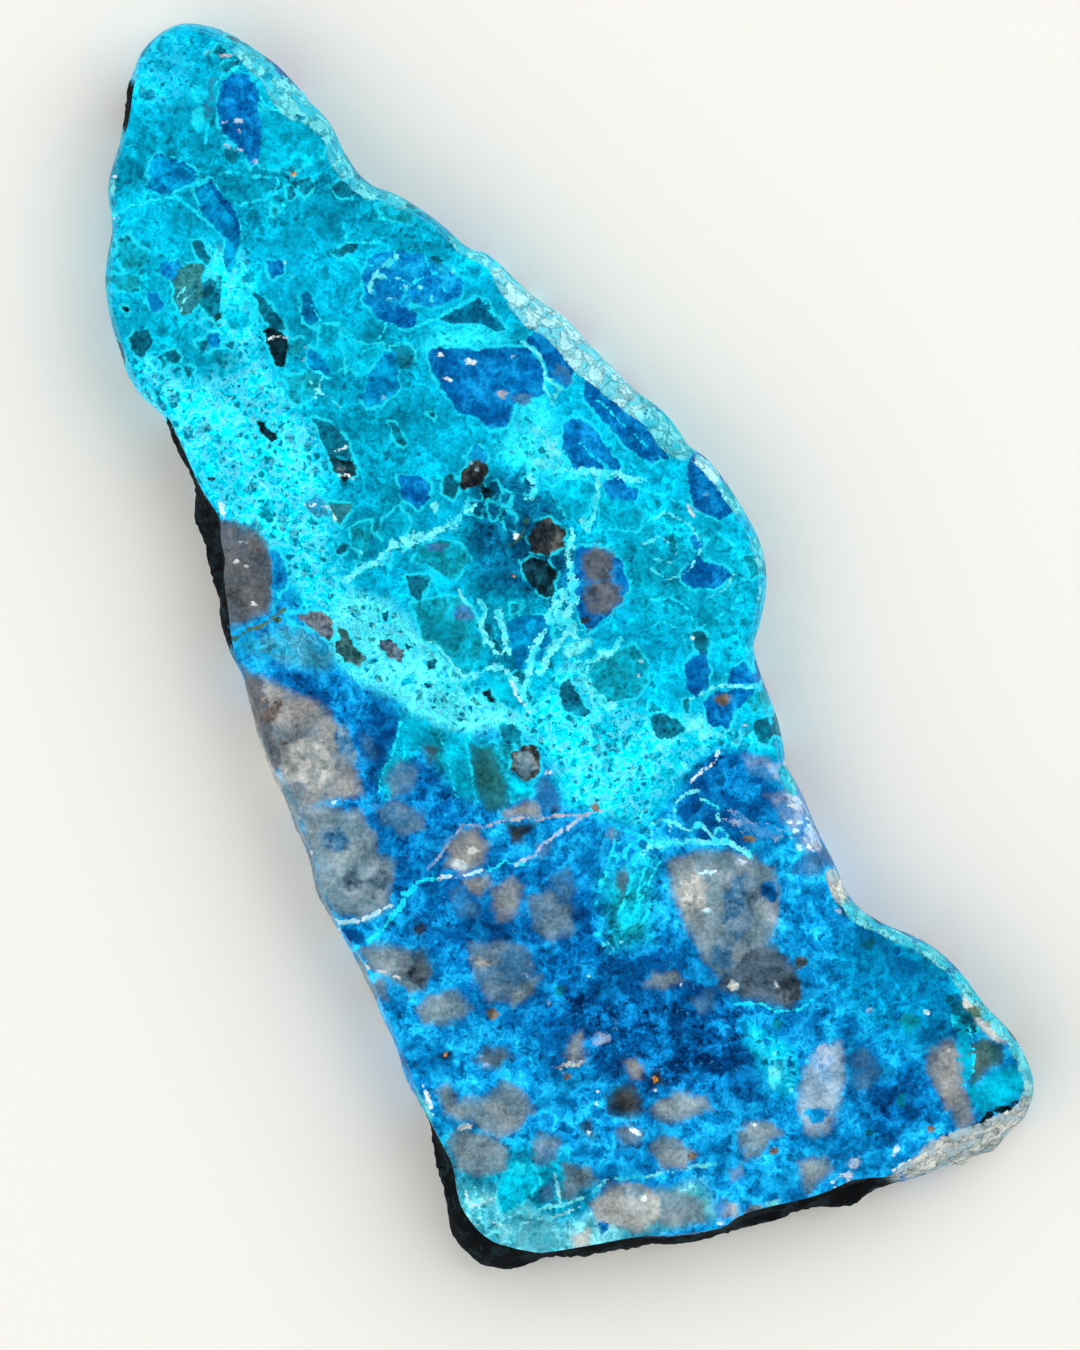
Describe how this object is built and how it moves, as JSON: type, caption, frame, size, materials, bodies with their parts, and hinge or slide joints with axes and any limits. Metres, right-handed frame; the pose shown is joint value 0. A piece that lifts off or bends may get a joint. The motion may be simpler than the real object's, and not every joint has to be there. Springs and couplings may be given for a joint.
{
  "type": "polished stone slab",
  "caption": "Freeform flat slab of blue-green gem silica with a polished face, a sawn back and a partly rough edge.",
  "frame": {"origin": "middle of the slab's box at its base, on the sawn back", "axes": "+Z out of the polished face, +Y along the slab towards its narrow end, +X to the right when the polished face is seen with the narrow end up"},
  "size_m": [0.0934, 0.1256, 0.009],
  "materials": {
    "gem_silica": "polished stone face, satin ground edge, rough rind and sawn back"
  },
  "bodies": {
    "root": {"gem_silica_slab": "gem_silica"}
  },
  "joints": []
}
